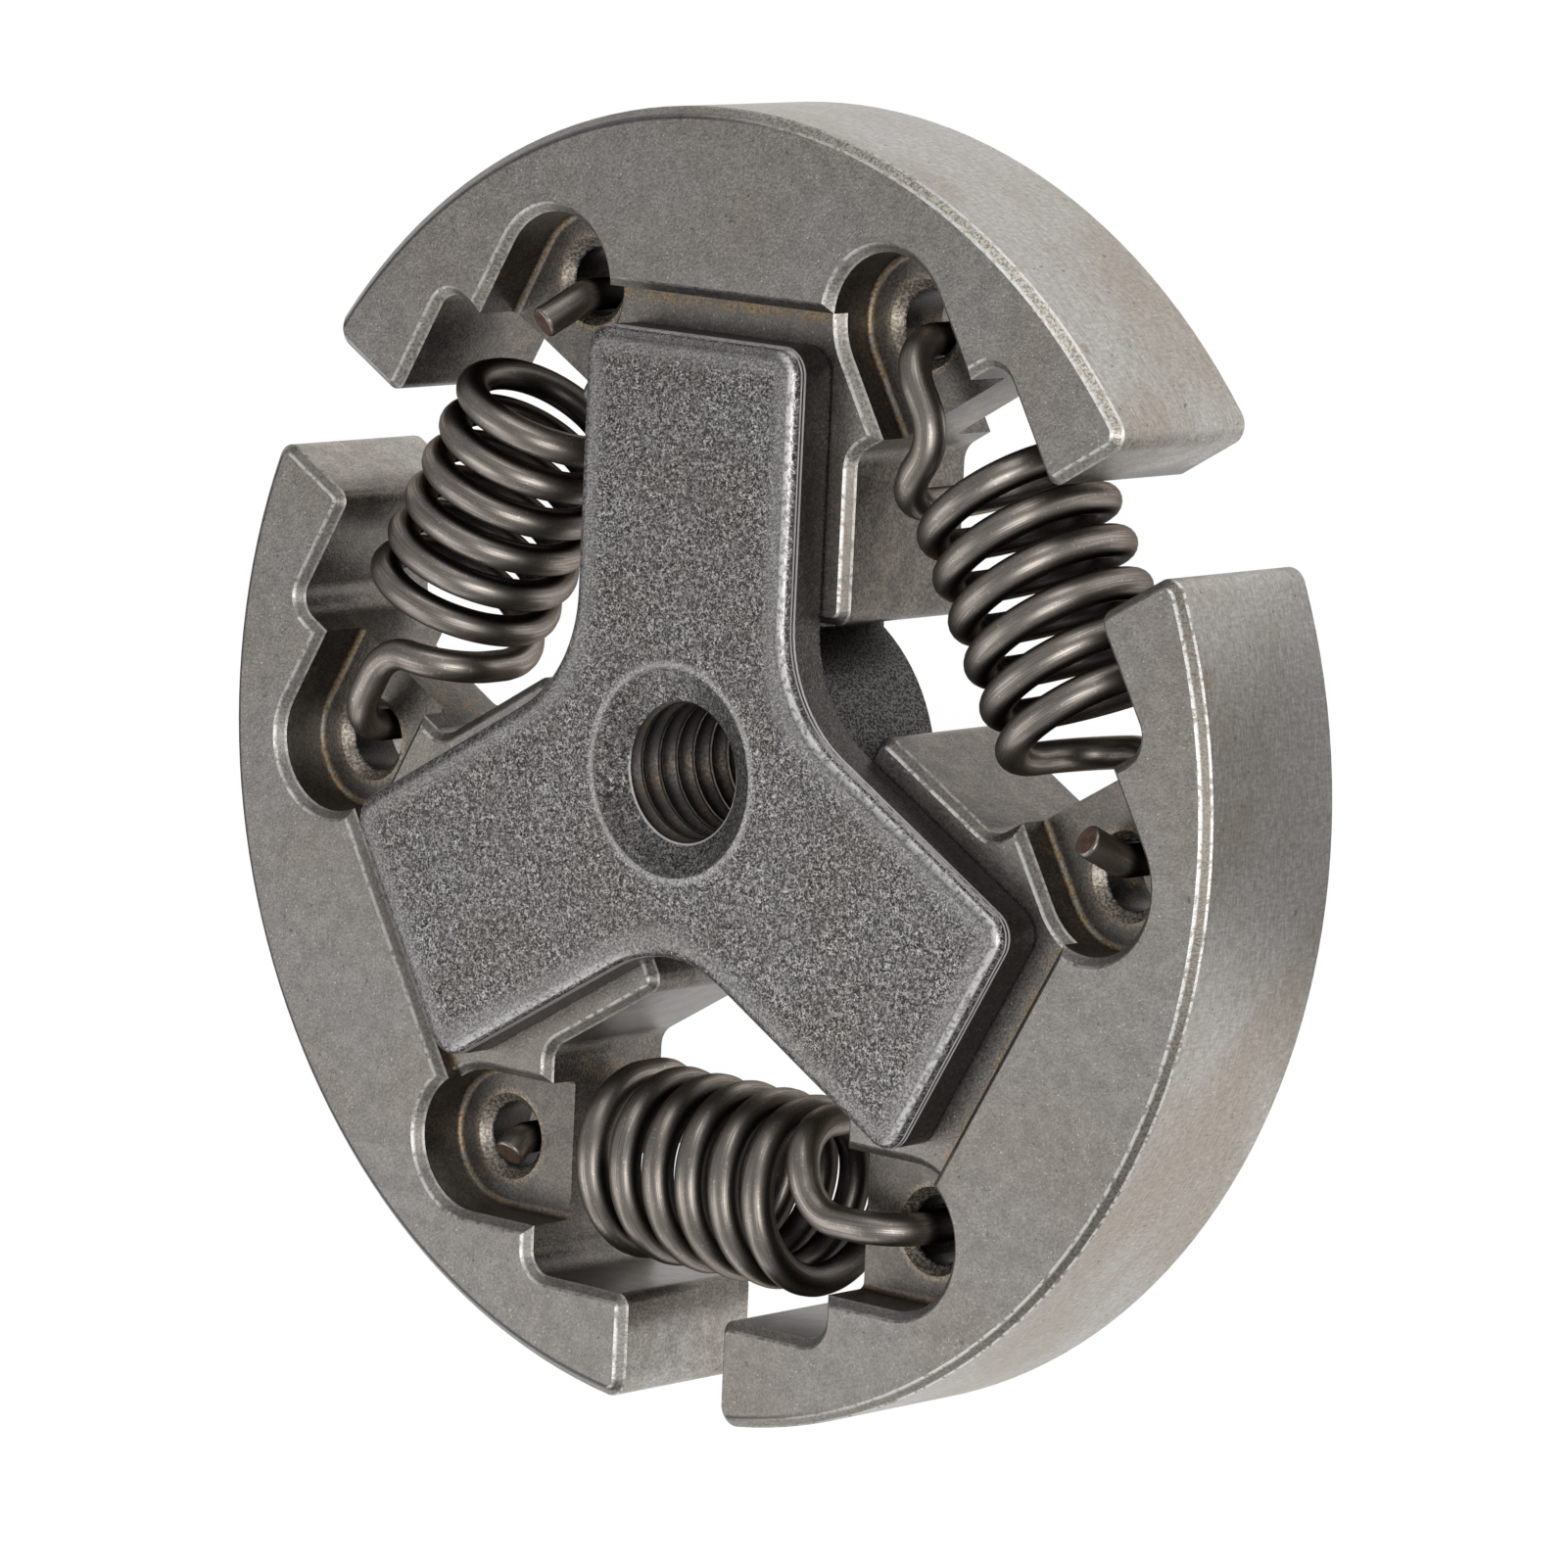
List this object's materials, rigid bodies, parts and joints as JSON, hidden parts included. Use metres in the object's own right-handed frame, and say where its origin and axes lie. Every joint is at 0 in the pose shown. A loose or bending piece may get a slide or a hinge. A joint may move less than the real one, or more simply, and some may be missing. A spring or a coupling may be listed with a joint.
{
  "type": "centrifugal clutch",
  "caption": "Centrifugal chainsaw clutch: crescent friction shoes slide outward on the arms of a Y-shaped threaded spider and hooked coil springs pull them back.",
  "frame": {"origin": "on the rotation axis, in the plane of the shoes' back faces, on which the clutch lies", "axes": "+Z along the rotation axis toward the front plate, +Y along the arm of shoe_1"},
  "size_m": [0.0652, 0.065, 0.0116],
  "materials": {
    "shoe_steel": "satin sintered metal with worn edges",
    "spider_steel": "dark grainy sintered metal with bright worn edges",
    "spring_wire": "dark satin spring wire"
  },
  "bodies": {
    "spider": {"spider": "spider_steel", "spring_1": "spring_wire", "spring_2": "spring_wire", "spring_3": "spring_wire"},
    "shoe_1": {"shoe_1": "shoe_steel"},
    "shoe_2": {"shoe_2": "shoe_steel"},
    "shoe_3": {"shoe_3": "shoe_steel"}
  },
  "joints": [
    {"name": "shoe_1_slide", "type": "slide", "parent": "spider", "child": "shoe_1", "axis": [0, 1, 0], "range_m": [0, 0.0012], "stiffness_N_per_m": 2000, "deforming": ["spring_1", "spring_3"]},
    {"name": "shoe_2_slide", "type": "slide", "parent": "spider", "child": "shoe_2", "axis": [0.866, -0.5, 0], "range_m": [0, 0.0012], "stiffness_N_per_m": 2000, "deforming": ["spring_1", "spring_2"]},
    {"name": "shoe_3_slide", "type": "slide", "parent": "spider", "child": "shoe_3", "axis": [-0.866, -0.5, 0], "range_m": [0, 0.0012], "stiffness_N_per_m": 2000, "deforming": ["spring_2", "spring_3"]}
  ]
}
